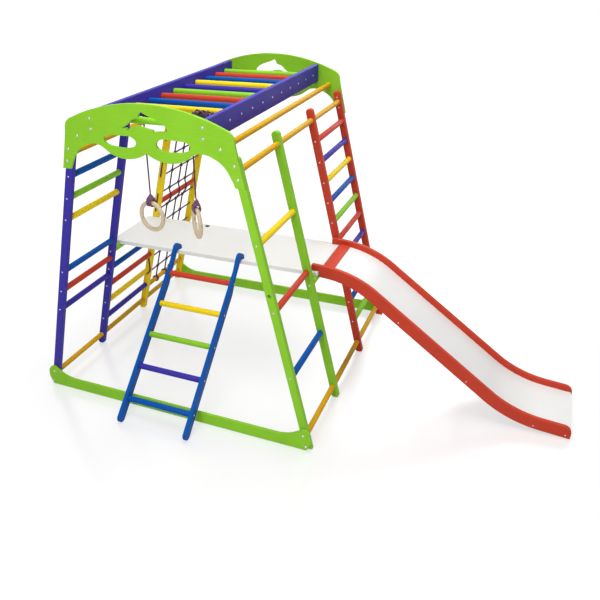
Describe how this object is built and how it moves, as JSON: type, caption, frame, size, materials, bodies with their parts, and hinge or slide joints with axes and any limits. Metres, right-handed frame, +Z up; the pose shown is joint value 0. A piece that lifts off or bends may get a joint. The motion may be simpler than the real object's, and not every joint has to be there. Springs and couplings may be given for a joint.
{
  "type": "indoor climbing frame",
  "caption": "Free-standing indoor climbing frame for small children: leaning posts, overhead ladder, rope net, hanging rings, platform, hooked ladder and slide.",
  "frame": {"origin": "on the floor under the middle of the whole object's bounding box", "axes": "+Z up, +X across the frame towards the slide's foot, +Y from the ladder's side to the back"},
  "size_m": [2.1655, 1.3338, 1.296],
  "materials": {
    "green_paint": "smooth paint, satin",
    "purple_paint": "smooth paint, satin",
    "yellow_paint": "smooth paint, satin",
    "orange_paint": "smooth paint, satin",
    "red_paint": "smooth paint, satin",
    "blue_paint": "smooth paint, satin",
    "white_paint": "smooth paint, satin",
    "pale_wood": "clear lacquer",
    "rope": "braided cord"
  },
  "bodies": {
    "frame": {"front_arch_panel": "green_paint", "back_arch_panel": "green_paint", "front_base_beam": "green_paint", "back_base_beam": "green_paint", "left_front_posts": "purple_paint", "left_post_3": "yellow_paint", "left_post_4": "yellow_paint", "right_post_1": "green_paint", "right_post_2": "green_paint", "right_back_posts": "red_paint", "overhead_boards": "purple_paint", "overhead_rung_1": "green_paint", "overhead_rung_3": "yellow_paint", "overhead_rung_4": "blue_paint", "overhead_rung_5": "red_paint", "overhead_rung_6": "green_paint", "overhead_rung_8": "yellow_paint", "overhead_rung_9": "blue_paint", "overhead_rung_10": "red_paint", "overhead_rung_11": "green_paint", "left_front_rung_1": "blue_paint", "left_front_rung_2": "green_paint", "left_front_rung_3": "yellow_paint", "left_front_rung_4": "blue_paint", "left_front_rung_5": "red_paint", "left_middle_rung_1": "green_paint", "left_middle_rung_2": "blue_paint", "left_middle_rung_3": "red_paint", "left_back_rung_1": "red_paint", "right_front_rung_1": "yellow_paint", "right_front_rung_2": "red_paint", "right_front_rung_3": "blue_paint", "right_back_rung_1": "purple_paint", "right_back_rung_2": "yellow_paint", "right_back_rung_3": "blue_paint", "right_back_rung_4": "green_paint", "right_back_rung_5": "purple_paint", "right_back_rung_6": "yellow_paint", "right_back_rung_7": "blue_paint", "right_back_rung_8": "green_paint", "left_upper_rod": "orange_paint", "left_hand_rod": "orange_paint", "left_floor_rod": "orange_paint", "right_upper_rod": "orange_paint", "right_hand_rod": "orange_paint", "right_floor_rod": "orange_paint", "net_low_rod": "orange_paint", "rope_net": "rope"},
    "platform_board": {"platform": "white_paint"},
    "hooked_ladder": {"ladder": "blue_paint"},
    "slide": {"slide_rails": "red_paint", "slide_bed": "white_paint"},
    "left_rope": {"left_ring_rope_winding": "rope", "left_ring_rope": "rope"},
    "left_ring_and_wrap": {"left_ring": "pale_wood", "left_ring_rope_wrap": "rope"},
    "right_rope": {"right_ring_rope_winding": "rope", "right_ring_rope": "rope"},
    "right_ring_and_wrap": {"right_ring": "pale_wood", "right_ring_rope_wrap": "rope"}
  },
  "joints": [
    {"name": "platform_lift", "type": "slide", "parent": "frame", "child": "platform_board", "axis": [0, 0, 1], "range_m": [0, 0.025]},
    {"name": "ladder_lift", "type": "slide", "parent": "platform_board", "child": "hooked_ladder", "axis": [0, 0, 1], "range_m": [0, 0.05]},
    {"name": "slide_lift", "type": "slide", "parent": "platform_board", "child": "slide", "axis": [0, 0, 1], "range_m": [0, 0.05]},
    {"name": "left_ring_swing", "type": "hinge", "parent": "frame", "child": "left_rope", "pos_m": [-0.57197, -0.33924, 1.2165], "axis": [1, 0, 0], "range_deg": [-40, 40]},
    {"name": "left_ring_turn", "type": "hinge", "parent": "left_rope", "child": "left_ring_and_wrap", "pos_m": [-0.57197, -0.35535, 0.816], "axis": [0, 0, 1], "range_deg": [-90, 90]},
    {"name": "right_ring_swing", "type": "hinge", "parent": "frame", "child": "right_rope", "pos_m": [-0.37197, -0.33924, 1.2165], "axis": [1, 0, 0], "range_deg": [-40, 40]},
    {"name": "right_ring_turn", "type": "hinge", "parent": "right_rope", "child": "right_ring_and_wrap", "pos_m": [-0.37197, -0.35535, 0.816], "axis": [0, 0, 1], "range_deg": [-90, 90]}
  ]
}
